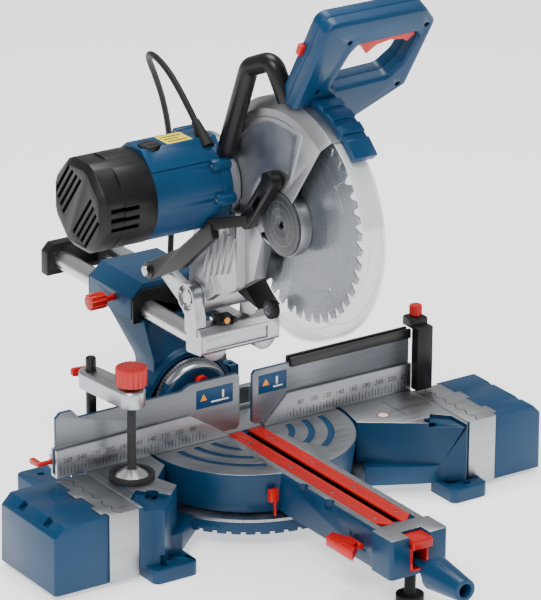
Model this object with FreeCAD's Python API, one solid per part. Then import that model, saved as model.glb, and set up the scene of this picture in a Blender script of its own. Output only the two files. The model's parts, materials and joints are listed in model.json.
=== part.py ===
import FreeCAD, Part
import math
import os

# Sliding compound miter saw, millimetres.
# Origin: the turntable's axis where it meets the bench. X runs along the fence,
# Y backwards, Z up. The fence's working face is the plane y = 0.

V = FreeCAD.Vector

# table and base
TABLE_TOP = 94.6
DECK_TOP = 95.0
TABLE_R = 137.0
TABLE_FOOT_R = 130.0
TABLE_UNDER = 42.0
BASE_RING_R = 147.0
ARM_HALF = 37.0
ARM_END = -370.0
ARM_UNDER = 44.0
INSERT_HALF = 24.8
INSERT_FRONT = -326.0
INSERT_REAR = 6.0
INSERT_THICK = 2.5
SLOT_HALF = 5.0
ARC_RADII = (108.8, 84.5, 60.0)
ARC_WIDTH = 8.0
KNOB_Z = 58.0

INSERT_SCREWS = (-300, -210, -120, -30)

# decks, seen from above
LEFT_DECK = [(-236, -125), (-221, -131), (-208, -137), (-162, -92), (-171, -62), (-142, -33), (-141, 10),
             (-135, 32), (-236, 32)]
RIGHT_DECK = [(250, -125), (244, -130), (186, -89), (131, -51), (140.5, -10), (140.5, 10), (136, 32),
              (250, 32)]
FRONT_HOLES = ((-208, -135), (242, -135))
REAR_HOLES = ((-242, 95), (242, 95))
POCKET_HOLES = ((-200, -95), (212, -95))
BOLT_R = 4.5
ROD_R = 6.0
ROD_Y = (-90.0, -30.0)
ROD_Z = 70.0

# fences
FENCE_TOP = 131.5
FENCE_DEEP = 14.5
PLATE_Y = (5.0, 10.3)
UPPER_TOP = 167.0

# bevel
BEVEL_Z = 95.0
DISC_R = 50.0
SCALE_R = 54.0
ARCH_IN = 55.5
ARCH_OUT = 63.0
DISC_BACK = 140.0

# slide
RAIL_X = 36.0
RAIL_Z = 209.0
RAIL_R = 12.5
RAIL_FRONT = 22.0
RAIL_REAR = 388.0
HOUSING_FRONT = 176.0
HOUSING_REAR = 276.0

# head, in the raised position
HINGE_Y = 48.5
HINGE_Z = 269.7
SHAFT_R = 10.0
ARBOR_Y = -117.0
ARBOR_Z = 412.0
BLADE_R = 127.0
BLADE_HALF = 1.2
TEETH = 40
GUARD_R = 154.0
LOWER_R = 148.5
MOTOR_Y = 25.0
MOTOR_Z = 430.0
MOTOR_R = 58.0
ROLLER_ANGLE = math.radians(286)
ROLLER_AT = (ARBOR_Y + 128 * math.cos(ROLLER_ANGLE), ARBOR_Z + 128 * math.sin(ROLLER_ANGLE))
BOSS_ANGLES = (60, 145, 185, 300)
HANDLE_LEAN = 25.0
HANDLE_OUT = [(-34, -10), (-18, 136), (120, 137), (141, 112), (128, 16), (62, -26), (10, -30)]
HANDLE_OUT_R = [6, 16, 14, 10, 9, 8, 6]
HANDLE_WIN = [(14, 36), (28, 84), (36, 96), (116, 99), (122, 92), (112, 52), (96, 34), (22, 30)]
HANDLE_WIN_R = [7, 10, 8, 5, 5, 14, 10, 6]
HANDLE_HOLES = ((20, 104), (128, 110), (-4, 33), (114, 20))

# hold-down clamp
POST_X = -206.0
POST_Y = 33.0
POST_R = 6.5
SCREW_X = -196.0
SCREW_Y = -44.0
SCREW_R = 5.5

# mains lead
CORD_R = 4.0
CORD_ROUTE = [
    (-60.0, 25.7, 506.5), (-60.0, 64.0, 540.5), (-57.0, 106.0, 559.0), (-45.0, 152.0, 556.0),
    (-20.0, 196.0, 533.0), (14.0, 234.0, 494.0), (46.0, 266.0, 447.0), (70.0, 290.0, 394.0),
    (84.0, 306.0, 337.0), (90.0, 315.0, 279.0), (91.0, 320.0, 220.0), (90.0, 324.0, 161.0),
    (92.0, 328.0, 102.0), (100.0, 335.0, 52.0), (118.0, 345.0, 20.0), (146.0, 353.0, 6.0),
    (178.0, 356.4, 4.2),
]
COIL_AT = (178.0, 421.0)
COIL_R = 43.0
COIL_WIDE = 34.0
COIL_TALL = 33.0

# running clearance of shafts and slides
RUN = 0.05


def box(x0, x1, y0, y1, z0, z1):
    return Part.makeBox(x1 - x0, y1 - y0, z1 - z0, V(x0, y0, z0))


def cyl_x(y, z, r, x0, x1):
    return Part.makeCylinder(r, x1 - x0, V(x0, y, z), V(1, 0, 0))


def cyl_y(x, z, r, y0, y1):
    return Part.makeCylinder(r, y1 - y0, V(x, y0, z), V(0, 1, 0))


def cyl_z(x, y, r, z0, z1):
    return Part.makeCylinder(r, z1 - z0, V(x, y, z0), V(0, 0, 1))


def cone_z(x, y, r0, r1, z0, z1):
    return Part.makeCone(r0, r1, z1 - z0, V(x, y, z0), V(0, 0, 1))


def cone_y(x, z, r0, r1, y0, y1):
    return Part.makeCone(r0, r1, y1 - y0, V(x, y0, z), V(0, 1, 0))


def prism(points, way):
    """Closed polygon of 3-D points pushed along the vector way."""
    wire = Part.makePolygon([V(*p) for p in points] + [V(*points[0])])
    return Part.Face(wire).extrude(V(*way))


def prism_x(yz, x0, x1):
    return prism([(x0, y, z) for y, z in yz], (x1 - x0, 0, 0))


def prism_y(xz, y0, y1):
    return prism([(x, y0, z) for x, z in xz], (0, y1 - y0, 0))


def prism_z(xy, z0, z1):
    return prism([(x, y, z0) for x, y in xy], (0, 0, z1 - z0))


def fuse(*shapes):
    body = shapes[0].multiFuse(list(shapes[1:])) if len(shapes) > 1 else shapes[0]
    return body.removeSplitter()


def cut(body, *tools):
    return body.cut(list(tools))


def group(*shapes):
    return Part.makeCompound(list(shapes))


def rounded(points, radii):
    """Plane outline in (u, v) with each corner turned by an arc of its radius."""
    edges = []
    ends = []
    count = len(points)
    for i, (u, v) in enumerate(points):
        before = V(points[i - 1][0] - u, points[i - 1][1] - v, 0)
        after = V(points[(i + 1) % count][0] - u, points[(i + 1) % count][1] - v, 0)
        half = before.getAngle(after) / 2
        radius = radii[i] if isinstance(radii, (list, tuple)) else radii
        reach = radius / math.tan(half)
        before.normalize()
        after.normalize()
        corner = V(u, v, 0)
        middle = (before + after)
        middle.normalize()
        centre = corner + middle * (radius / math.sin(half))
        start = corner + before * reach
        stop = corner + after * reach
        ends.append((start, centre - middle * radius, stop))
    for i, (start, mid, stop) in enumerate(ends):
        edges.append(Part.Arc(start, mid, stop).toShape())
        following = ends[(i + 1) % count][0]
        if (following - stop).Length > 1e-6:
            edges.append(Part.LineSegment(stop, following).toShape())
    return Part.Face(Part.Wire(edges))


def plate_z(points, radii, z0, z1):
    face = rounded(points, radii)
    face.translate(V(0, 0, z0))
    return face.extrude(V(0, 0, z1 - z0))


def plate_x(yz, radii, x0, x1):
    """Rounded outline in the Y-Z plane, thick along X."""
    face = rounded(yz, radii)
    face.Placement = FreeCAD.Placement(V(x0, 0, 0), FreeCAD.Rotation(V(1, 1, 1), 120))
    return face.extrude(V(x1 - x0, 0, 0))


def plate_y(xz, radii, y0, y1):
    """Rounded outline in the X-Z plane, thick along Y."""
    face = rounded(xz, radii)
    face.Placement = FreeCAD.Placement(V(0, y0, 0), FreeCAD.Rotation(V(1, 0, 0), 90))
    return face.extrude(V(0, y1 - y0, 0))


def hull_x(y0, z0, r0, y1, z1, r1, x0, x1):
    """Two round ends joined by their outer tangents, thick along X."""
    gap = math.hypot(y1 - y0, z1 - z0)
    line = math.atan2(z1 - z0, y1 - y0)
    lean = math.acos((r0 - r1) / gap)
    corners = []
    for y, z, r, side in ((y0, z0, r0, 1), (y1, z1, r1, 1), (y1, z1, r1, -1), (y0, z0, r0, -1)):
        angle = line + side * lean
        corners.append((y + r * math.cos(angle), z + r * math.sin(angle)))
    return fuse(prism_x(corners, x0, x1), cyl_x(y0, z0, r0, x0, x1), cyl_x(y1, z1, r1, x0, x1))


def hull_z(x0, y0, r0, x1, y1, r1, z0, z1):
    """Two round ends joined by their outer tangents, thick along Z."""
    gap = math.hypot(x1 - x0, y1 - y0)
    line = math.atan2(y1 - y0, x1 - x0)
    lean = math.acos((r0 - r1) / gap)
    corners = []
    for x, y, r, side in ((x0, y0, r0, 1), (x1, y1, r1, 1), (x1, y1, r1, -1), (x0, y0, r0, -1)):
        angle = line + side * lean
        corners.append((x + r * math.cos(angle), y + r * math.sin(angle)))
    return fuse(prism_z(corners, z0, z1), cyl_z(x0, y0, r0, z0, z1), cyl_z(x1, y1, r1, z0, z1))


def turned_x(profile, start, sweep):
    """Profile of (radius, x) swept about the arbor from the angle start, measured from +Y to +Z."""
    a = math.radians(start)
    points = []
    for r, x in profile:
        points.append(V(x, ARBOR_Y + r * math.cos(a), ARBOR_Z + r * math.sin(a)))
    face = Part.Face(Part.makePolygon(points + [points[0]]))
    return face.revolve(V(0, ARBOR_Y, ARBOR_Z), V(1, 0, 0), sweep)


def fluted(r, depth, count, z0, z1, x, y):
    """Round knob about Z with scalloped grips."""
    knob = cyl_z(x, y, r, z0, z1)
    knob = knob.makeChamfer(1.2, [knob.Edges[0], knob.Edges[2]])
    tools = []
    for i in range(count):
        a = 2 * math.pi * i / count
        tools.append(cyl_z(x + (r + depth) * math.cos(a), y + (r + depth) * math.sin(a), 2 * depth, z0, z1))
    return cut(knob, *tools)


def mirrored(shape):
    return shape.mirror(V(0, 0, 0), V(1, 0, 0))


# ---------------------------------------------------------------- base


def deck(outline, side):
    shell = prism_z(outline, 16, DECK_TOP)
    inner = Part.Face(Part.makePolygon([V(x, y, 10) for x, y in outline + [outline[0]]]))
    hollow = inner.makeOffset2D(-6).extrude(V(0, 0, 76))
    shell = cut(shell, hollow)
    x_end = outline[0][0]
    for y in ROD_Y:
        shell = cut(shell, cyl_x(y, ROD_Z, ROD_R + RUN, min(x_end, x_end - side * 20),
                                 max(x_end, x_end - side * 20)))
    return shell


def pocket(hole_x, side):
    """Sunken three-cornered corner of a deck, with a hole for the clamp's post."""
    points = [(hole_x + side * dx, -95 + dy) for dx, dy in ((-20, -24), (12, 17), (31, -2), (31, -50), (2, -50))]
    return fuse(prism_z(points, 89.5, 100), cyl_z(hole_x, -95, 8, 80, 100))


def foot(x0, x1, hole):
    pad = plate_z([(x0, -150), (x1, -150), (x1, -100), (x0, -100)], [9, 9, 2, 2], 0, 18)
    recess = plate_z([(x0 + 7, -128), (x1 - 7, -128), (x1 - 7, -114), (x0 + 7, -114)], 3, 13, 19)
    small = cyl_z(hole[0] + 17, hole[1] + 4, 2.2, -1, 19)
    return cut(pad, recess, cyl_z(hole[0], hole[1], BOLT_R, -1, 19), small)


def base_casting():
    ring = cut(cyl_z(0, 0, BASE_RING_R, 20, 40), cyl_z(0, 0, 112, 30, 41), cyl_z(0, 0, 100, 15, 26))
    notches = []
    for i in range(-8, 9):
        notch = box(-3, 3, -BASE_RING_R - 2, -BASE_RING_R + 7, 19, 25)
        notch.rotate(V(0, 0, 0), V(0, 0, 1), 7 * i)
        notches.append(notch)
    ring = cut(ring, *notches)
    seat = cut(cyl_z(0, 0, BASE_RING_R + 1, 36, 41), cyl_z(0, 0, 125, 35, 42))
    seat = seat.common(box(-150, 150, -150, -40, 30, 42))
    boss = cyl_z(0, 0, 28, 0, 38)
    left = deck(LEFT_DECK, -1)
    right = deck(RIGHT_DECK, 1)
    beam = box(-150, 150, 14, 32, 20, 40)
    step_left = prism_z([(-229, -112), (-167, -112), (-120, -70), (-135, -20), (-229, -20)], 16, 40)
    step_right = prism_z([(250, -112), (208, -112), (190, -104), (120, -68), (135, -20), (249, -20)], 16, 40)
    inner = cyl_z(0, 0, 140, 15, 41)
    lugs = []
    for x0, x1 in ((-269, -215), (215, 269)):
        lug = plate_z([(x0, 30), (x1, 30), (x1, 115), (x0, 115)], [1, 1, 12, 12], 0, 60)
        lugs.append(cut(lug, box(x0 + 8, x1 - 8, 20, 107, -1, 50)))
    bosses = [cyl_z(x, y, 11, 0, 60) for x, y in REAR_HOLES]
    post_boss = cyl_z(POST_X, POST_Y, 15, 60, DECK_TOP)
    body = fuse(ring, boss, left, right, beam, cut(step_left, inner), cut(step_right, inner), *lugs, *bosses,
                foot(-229, -167, FRONT_HOLES[0]), foot(211, 265, FRONT_HOLES[1]), post_boss)
    holes = [cyl_z(x, y, BOLT_R, -1, 61) for x, y in REAR_HOLES]
    holes += [cyl_z(x, y, BOLT_R, -1, 30) for x, y in FRONT_HOLES]
    body = cut(body, *holes, seat, cyl_z(0, 0, 8, 12, 50), cyl_z(POST_X, POST_Y, POST_R, 62, 100),
               pocket(POCKET_HOLES[0][0], -1), pocket(POCKET_HOLES[1][0], 1))
    return cut(body, cyl_z(0, 0, TABLE_R + 2, 40.5, 100))


def miter_scale():
    ring = cut(cyl_z(0, 0, BASE_RING_R, 36, 40), cyl_z(0, 0, 125, 35, 41))
    return ring.common(box(-150, 150, -150, -40.2, 30, 42))


def pivot_bolt():
    return fuse(cyl_z(0, 0, 8, 12, 82), cut(cyl_z(0, 0, 15, 74.4, 80), cyl_z(0, 0, 7, 77, 81)))


def fence_casting():
    left = [(-275, 95), (-27, 95), (-27, 97), (-84, FENCE_TOP + 3), (-275, FENCE_TOP)]
    right = [(250, 95), (27, 95), (27, 97), (62, FENCE_TOP + 1), (250, FENCE_TOP)]
    channel = box(-280, 260, PLATE_Y[0] - 0.4, PLATE_Y[1] + 0.4, 99, 140)
    walls = [cut(prism_y(outline, 0, FENCE_DEEP), channel) for outline in (left, right)]
    bow = plate_z([(-84, 12), (-60, 78), (60, 78), (84, 12)], [1, 10, 10, 1], 100, 122)
    bow_hollow = plate_z([(-74, -12), (-50, 68), (50, 68), (74, -12)], [1, 8, 8, 1], 99, 123)
    lug = box(-275, -262, PLATE_Y[1] + 0.6, 19, 104, 122)
    body = fuse(*walls, cut(bow, bow_hollow), lug)
    return cut(body, cyl_x(14.5, 113, 3 + RUN, -276, -264))


def clamp_post():
    post = cyl_z(POST_X, POST_Y, POST_R, 62, 229)
    return post.makeChamfer(1.2, [post.Edges[0]])


# ---------------------------------------------------------------- turntable


def arc_grooves():
    tools = []
    keep_right = prism_z([(37, -7), (150, -7), (150, -110), (80, -130), (37, -60)], 90, 100)
    keep_left = prism_z([(-37, -7), (-150, -7), (-150, -150), (-37, -150)], 90, 100)
    for r in ARC_RADII:
        ring = cut(cyl_z(0, 0, r, TABLE_TOP - 1.2, 100), cyl_z(0, 0, r - ARC_WIDTH, 90, 101))
        tools.append(ring.common(keep_right))
        tools.append(ring.common(keep_left))
    return tools


def turntable():
    drum = cone_z(0, 0, TABLE_FOOT_R, TABLE_R, TABLE_UNDER, TABLE_TOP)
    drum = drum.makeChamfer(1.5, [e for e in drum.Edges if abs(e.BoundBox.ZMin - TABLE_TOP) < 0.01
                                  and e.BoundBox.ZLength < 0.01])
    inner = cone_z(0, 0, TABLE_FOOT_R - 7, TABLE_R - 7, TABLE_UNDER - 1, 86)
    drum = cut(drum, inner)
    arm = prism_y([(-ARM_HALF, ARM_UNDER), (ARM_HALF, ARM_UNDER), (ARM_HALF, 91.6), (ARM_HALF - 3, TABLE_TOP),
                   (3 - ARM_HALF, TABLE_TOP), (-ARM_HALF, 91.6)], ARM_END + 10, 60)
    end = plate_z([(-41, ARM_END), (41, ARM_END), (41, -329), (-41, -329)], [5, 5, 2, 2], ARM_UNDER, TABLE_TOP)
    hub = cyl_z(0, 0, 25, TABLE_UNDER, 74)
    rear = box(-34, 34, 55, DISC_BACK, 46, 92)
    rear = cut(rear, box(-26, 26, 50, 128, 40, 84))
    disc = cyl_y(0, BEVEL_Z, DISC_R, 112, DISC_BACK)
    disc = disc.makeFillet(9, [e for e in disc.Edges if e.BoundBox.YMax < 112.1])
    body = fuse(drum, arm, end, rear, disc)
    trough = box(-22, 22, -318, 2, 68, 100)
    seat = box(-INSERT_HALF - 0.2, INSERT_HALF + 0.2, INSERT_FRONT - 0.2, INSERT_REAR, TABLE_TOP - INSERT_THICK, 100)
    belly = box(-28, 28, -318, -60, ARM_UNDER - 1, 62)
    belly = cut(belly, box(-12, 12, -330, -50, 40, 70))
    body = cut(body, trough, seat, belly)
    body = fuse(body, hub)
    front_slot = box(-13, 13, ARM_END - 1, -344, 49, 91)
    scallops = [cyl_z(-ARM_HALF, y, 8, 84, 100) for y in (-176, -232)]
    thumb = plate_z([(-70, -111), (-38, -111), (-38, -127), (-70, -127)], 3, 78, 100)
    body = cut(body, front_slot, *scallops, cyl_z(0, 0, 8 + RUN, 40, 90), cyl_z(0, 0, 16, 74, 81), cyl_y(0, KNOB_Z, 5 + RUN, -345, -150),
               cyl_y(0, BEVEL_Z, SHAFT_R, 118, DISC_BACK + 1), cyl_y(0, 126, 5 + RUN, 108, 124),
               box(-45.5, -36, -312, -280, 60, 74), box(-14.6, 14.6, ARM_END - 1, -351.4, 80, 96))
    return cut(body, *arc_grooves())


def kerf_insert(side):
    points = [(side * SLOT_HALF, INSERT_REAR - 1), (side * INSERT_HALF, INSERT_REAR - 1),
              (side * INSERT_HALF, INSERT_FRONT + 12), (side * (INSERT_HALF - 12), INSERT_FRONT),
              (side * SLOT_HALF, INSERT_FRONT)]
    plate = prism_z(points, TABLE_TOP - INSERT_THICK, TABLE_TOP)
    holes = [cyl_z(side * 16, y, 3, 90, 96) for y in INSERT_SCREWS]
    return cut(plate, *holes)


def bevel_scale():
    return cut(cyl_y(0, BEVEL_Z, SCALE_R, 127, DISC_BACK), cyl_y(0, BEVEL_Z, DISC_R, 126, 141),
               box(-34, 34, 120, 141, 40, 92))


def bevel_shaft():
    return fuse(cyl_y(0, BEVEL_Z, SHAFT_R, 118, 202), cyl_y(0, BEVEL_Z, 14, 202, 207))


def miter_pointer():
    arm = prism_y([(-29, 60), (-21, 60), (-21, 46), (-25, 41), (-29, 46)], -136, -133.5)
    foot_piece = box(-29, -21, -136, -128.5, 56, 60)
    return fuse(arm, foot_piece)


def arm_foot():
    return fuse(cyl_z(0, -352, 17, 0.4, 12), cyl_z(0, -352, 7, 12, ARM_UNDER))


def miter_knob():
    grip = cone_y(0, KNOB_Z, 14, 21, -462, -404)
    neck = cone_y(0, KNOB_Z, 21, 12, -404, -388)
    body = fuse(grip, neck)
    tools = [cyl_y(0, KNOB_Z, 8.5, -463, -440)]
    for i in range(6):
        a = math.radians(60 * i + 30)
        flute = cone_y(24 * math.cos(a), KNOB_Z + 24 * math.sin(a), 8.5, 3.5, -464, -410)
        tools.append(flute)
    return fuse(cut(body, *tools), cyl_y(0, KNOB_Z, 5, -400, -180))


def detent_tab():
    cap = plate_z([(-14, -376), (14, -376), (14, -352), (-14, -352)], 3, 86, 91.5)
    lip = plate_z([(-14, -378), (14, -378), (14, -371), (-14, -371)], 2, 80, 90)
    stem = box(-5, 5, -358, -352, 70, 88)
    return fuse(cap, lip, stem)


def detent_lever():
    paddle = prism_z([(-64, -324), (-43, -304), (-43, -284), (-50, -262), (-64, -268)], 58, 70)
    ribs = [box(-63, -52, y, y + 2, 69.5, 71) for y in range(-312, -272, 6)]
    tang = cyl_y(-41, 66, 4, -309, -283)
    return fuse(paddle, tang, *ribs)


# ---------------------------------------------------------------- bevel and rails


def tilt_arm():
    side = plate_x([(DISC_BACK + 0.5, 70.5), (DISC_BACK + 0.5, 150), (166, 198), (262, 198), (186, 146), (182, 70.5)],
                   [6, 6, 1, 1, 14, 8], -48, 48)
    back = cyl_y(0, BEVEL_Z, 50, DISC_BACK + 0.5, 168)
    ring = cut(cyl_y(0, BEVEL_Z, ARCH_OUT, 131, 160), cyl_y(0, BEVEL_Z, ARCH_IN, 130, 141),
               box(-80, 80, 120, 170, 0, BEVEL_Z + 10))
    lugs = [box(min(s * 60, s * 74), max(s * 60, s * 74), 131, 152, 106, 124) for s in (-1, 1)]
    body = fuse(side, back, ring, *lugs, rail_housing())
    tools = [cyl_y(0, BEVEL_Z, SHAFT_R + RUN, 130, 200), cyl_x(217, 216, 4 + RUN, -61, -45)]
    tools += [cyl_y(s * RAIL_X, RAIL_Z, RAIL_R + 1, 150, 300) for s in (-1, 1)]
    tools += [cyl_z(s * 67, 141, 3, 100, 130) for s in (-1, 1)]
    return cut(body, *tools)


def rail_housing():
    outline = [(-60, 198), (60, 198), (60, 226), (42, 244), (-42, 244), (-60, 226)]
    body = prism_y(outline, HOUSING_FRONT, HOUSING_REAR)
    core = prism_y([(-52, 190), (52, 190), (52, 222), (38, 237), (-38, 237), (-52, 222)],
                   HOUSING_FRONT + 14, HOUSING_REAR - 14)
    return cut(body, core.common(box(-60, 60, 100, 300, 203, 240)))


def rail_bushes():
    plates = []
    for y0, y1 in ((HOUSING_FRONT - 4, HOUSING_FRONT), (HOUSING_REAR, HOUSING_REAR + 4)):
        outline = [(-59, 193), (59, 193), (59, 225), (44, 236), (-44, 236), (-59, 225)]
        plate = prism_y(outline, y0, y1)
        plates.append(cut(plate, *[cyl_y(s * RAIL_X, RAIL_Z, RAIL_R + RUN, 150, 300) for s in (-1, 1)]))
    return group(*plates)


def bevel_lock_lever():
    hub = cyl_y(0, BEVEL_Z, 17, 187, 200)
    arm = plate_y([(-60, -8 + BEVEL_Z), (-12, -10 + BEVEL_Z), (-12, 10 + BEVEL_Z), (-60, 8 + BEVEL_Z)], 4, 189, 199)
    return cut(fuse(hub, arm), cyl_y(0, BEVEL_Z, SHAFT_R + RUN, 180, 205))


def bevel_button():
    return fuse(cyl_y(0, 126, 5, 106, 118), cyl_y(0, 126, 8, 100, 107))


def slide_lock_knob():
    knob = fluted(12, 2.2, 12, 0, 22, 0, 0)
    knob.Placement = FreeCAD.Placement(V(-97, 217, 216), FreeCAD.Rotation(V(0, 1, 0), 90))
    return fuse(knob, cyl_x(217, 216, 4, -76, -49))


def rails():
    tubes = [cut(cyl_y(s * RAIL_X, RAIL_Z, RAIL_R, RAIL_FRONT, RAIL_REAR),
                 cyl_y(s * RAIL_X, RAIL_Z, 9, RAIL_FRONT - 1, RAIL_REAR + 1)) for s in (-1, 1)]
    return group(*tubes)


def rail_end_plate():
    outline = [(-58, 190), (58, 190), (58, 222), (48, 232), (-48, 232), (-58, 222)]
    body = prism_y(outline, 384, 400)
    recess = box(-19, 19, 380, 394, 196, 226)
    sockets = [cyl_y(s * RAIL_X, RAIL_Z, RAIL_R, 380, RAIL_REAR) for s in (-1, 1)]
    return cut(body, recess, *sockets)


def front_bracket():
    bar = plate_x([(15, 202), (50, 198), (50, 232), (40, 236), (21, 236), (15, 228)], [5, 4, 3, 4, 4, 5], -58, 58)
    sockets = [cyl_y(s * RAIL_X, RAIL_Z, 17, 16, 50) for s in (-1, 1)]
    left = fuse(prism_x([(24, 225), (50, 225), (50, 246), (66, 262), (66, 270), (31, 270), (24, 250)], -60, -45.5),
                cyl_x(HINGE_Y, HINGE_Z, 19, -60, -45.5))
    right = fuse(prism_x([(28, 225), (50, 225), (50, 246), (64, 262), (64, 270), (33, 270), (28, 250)], 21, 31),
                 cyl_x(HINGE_Y, HINGE_Z, 17, 21, 31))
    link_arm = hull_x(HINGE_Y, HINGE_Z, 15, 107, 291, 9, -60, -50)
    body = fuse(bar, *sockets, left, right, link_arm)
    tools = [cyl_y(s * RAIL_X, RAIL_Z, RAIL_R, RAIL_FRONT, 60) for s in (-1, 1)]
    tools.append(cyl_x(HINGE_Y, HINGE_Z, SHAFT_R, -70, 40))
    dish = cut(cyl_x(HINGE_Y, HINGE_Z, 16, -61, -56), cyl_x(HINGE_Y, HINGE_Z, 8, -62, -55))
    spokes = []
    for k in range(4):
        spoke = box(-62, -55, HINGE_Y - 1.5, HINGE_Y + 1.5, HINGE_Z, HINGE_Z + 20)
        spoke.rotate(V(0, HINGE_Y, HINGE_Z), V(1, 0, 0), 90 * k + 20)
        spokes.append(spoke)
    tools.append(cut(dish, *spokes))
    tools.append(prism_x([(14, 208), (18, 207), (18, 224), (14, 223)], -50, 40))
    pin = fuse(cyl_x(107, 291, 4, -80, -50), cyl_x(107, 291, 6.5, -83, -80))
    return fuse(cut(body, *tools), pin)


def pivot_shaft():
    return cyl_x(HINGE_Y, HINGE_Z, SHAFT_R, -58, 34)


def depth_stop():
    block = box(-30, -8, 22, 34, 236.1, 246)
    barrel = cyl_y(-7, 239.9, 3.6, 16, 32)
    screw = cyl_y(-24, 240, 3, 16, 40)
    return fuse(block, barrel, screw)


# ---------------------------------------------------------------- head


def belt_case(spare, x0, x1):
    return hull_x(ARBOR_Y, ARBOR_Z, 38 + spare, MOTOR_Y, MOTOR_Z, 24 + spare, x0, x1)


def head_casting():
    plate = belt_case(3, -15, -13)
    wall = cut(belt_case(3, -28, -13), belt_case(0, -29, -15))
    barrel = cyl_x(HINGE_Y, HINGE_Z, 22, -45, 20.5)
    outline = [(67, 284), (62, 330), (46, 392), (-41, 404), (-41, 306), (-20, 293), (5, 285), (36, 262)]
    arm = plate_x(outline, [6, 20, 8, 8, 10, 20, 12, 4], -43, -31)
    inner = prism_x([(60, 290), (44, 392), (-60, 404), (-78, 380), (-60, 322), (-20, 296), (8, 288), (36, 270)],
                    -31, -13.5)
    collar = cut(cyl_x(MOTOR_Y, MOTOR_Z, 57, -44, -30.5), cyl_x(MOTOR_Y, MOTOR_Z, 46, -45, -34))
    fins = [prism_x([(30 - 13 * i, 300 + 5 * i), (33 - 13 * i, 300 + 5 * i), (15 - 13 * i, 372), (12 - 13 * i, 372)],
                    -45.5, -42) for i in range(5)]
    boss = cyl_x(ARBOR_Y, ARBOR_Z, 20, -15, -7)
    body = fuse(plate, wall, barrel, arm, inner, collar, boss, *fins)
    return cut(body, cyl_x(HINGE_Y, HINGE_Z, SHAFT_R + RUN, -60, 40), cyl_x(ARBOR_Y, ARBOR_Z, SHAFT_R + RUN, -30, 0),
               belt_case(0, -28.2, -15), cyl_x(MOTOR_Y, MOTOR_Z, 16, -45, -20))


def upper_guard(casting):
    profile = [(3, -30), (140, -30), (GUARD_R, -20), (GUARD_R, 22), (144, 30), (3, 30),
               (3, 28), (143, 28), (GUARD_R - 2.6, 20.6), (GUARD_R - 2.6, -18.6), (139, -28), (3, -28)]
    shell = turned_x(profile, -30, 155)
    panel = cut(turned_x([(62, -31.5), (130, -31.5), (130, -29.5), (62, -29.5)], 0, 110),
                turned_x([(70, -33), (122, -33), (122, -28), (70, -28)], 5, 100))
    cap = cut(cyl_x(ARBOR_Y, ARBOR_Z, 40, -31, -28), cyl_x(ARBOR_Y, ARBOR_Z, 6, -32, -27))
    right_cap = cyl_x(ARBOR_Y, ARBOR_Z, 34, 28, 31)
    shell = fuse(shell, panel, cap, right_cap)
    shell = cut(shell, cyl_x(MOTOR_Y, MOTOR_Z, 57.2, -45, -27), cyl_x(ARBOR_Y, ARBOR_Z, 12, 27, 32))
    return cut(shell, casting)


def guard_cover():
    body = turned_x([(GUARD_R + 0.2, -8), (GUARD_R + 12, -8), (GUARD_R + 12, 24), (GUARD_R + 0.2, 24)], 92, 45)
    steps = [turned_x([(GUARD_R + 9, -9), (GUARD_R + 14, -9), (GUARD_R + 14, 25), (GUARD_R + 9, 25)], 101 + 8 * i, 3)
             for i in range(4)]
    return cut(body, *steps)


def motor_housing():
    shell = cyl_x(MOTOR_Y, MOTOR_Z, MOTOR_R, -150, -44.2)
    ridge = prism_x([(MOTOR_Y - 44, MOTOR_Z + 40), (MOTOR_Y - 20, MOTOR_Z + 62), (MOTOR_Y + 14, MOTOR_Z + 62),
                     (MOTOR_Y + 40, MOTOR_Z + 42)], -150, -44.2)
    flange = cut(cyl_x(MOTOR_Y, MOTOR_Z, MOTOR_R + 3, -58, -44.2), cyl_x(MOTOR_Y, MOTOR_Z, 40, -60, -40))
    bosses = []
    for a in BOSS_ANGLES:
        y = MOTOR_Y + 61 * math.cos(math.radians(a))
        z = MOTOR_Z + 61 * math.sin(math.radians(a))
        bosses.append(cyl_x(y, z, 7.5, -70, -44.2))
    body = fuse(shell, ridge, flange, *bosses)
    tools = [cyl_x(MOTOR_Y, MOTOR_Z, 51, -151, -43), cyl_z(-132, MOTOR_Y - 10, 14, 485, 500)]
    for a in BOSS_ANGLES:
        y = MOTOR_Y + 61 * math.cos(math.radians(a))
        z = MOTOR_Z + 61 * math.sin(math.radians(a))
        tools.append(cyl_x(y, z, 3.6, -71, -66))
    return cut(body, *tools)


def motor_end_cap():
    drum = cyl_x(MOTOR_Y, MOTOR_Z, MOTOR_R + 0.6, -228, -150.2)
    octagon = []
    for k in range(8):
        a = math.radians(22.5 + 45 * k)
        octagon.append((MOTOR_Y + 61 * math.cos(a), MOTOR_Z + 61 * math.sin(a)))
    body = drum.common(prism_x(octagon, -230, -196).fuse(cyl_x(MOTOR_Y, MOTOR_Z, 70, -196, -150)))
    edges = [e for e in body.Edges if e.BoundBox.XMax < -227.9]
    body = body.makeChamfer(7, edges)
    tools = [cyl_x(MOTOR_Y, MOTOR_Z, 52, -222, -150)]
    for k in range(4):
        for side in (-1, 1):
            slot = box(-229, -221, -34 + 3 * k, 34 - 3 * k, side * (15 + 9 * k) - 2.2, side * (15 + 9 * k) + 2.2)
            slot.rotate(V(0, 0, 0), V(1, 0, 0), -52)
            slot.translate(V(0, MOTOR_Y, MOTOR_Z))
            tools.append(slot)
    for k in range(3):
        tools.append(box(-214, -176, MOTOR_Y - 64, MOTOR_Y - 40, MOTOR_Z - 20 + 12 * k, MOTOR_Z - 15 + 12 * k))
        tools.append(box(-214, -176, MOTOR_Y + 40, MOTOR_Y + 64, MOTOR_Z - 20 + 12 * k, MOTOR_Z - 15 + 12 * k))
    body = cut(body, *tools)
    spider = fuse(cyl_x(MOTOR_Y, MOTOR_Z, 12, -222, -212), box(-222, -218, MOTOR_Y - 52, MOTOR_Y + 52, 426, 434))
    return cut(fuse(body, spider), cyl_x(MOTOR_Y, MOTOR_Z, 6 + RUN, -217, -205))


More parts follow.
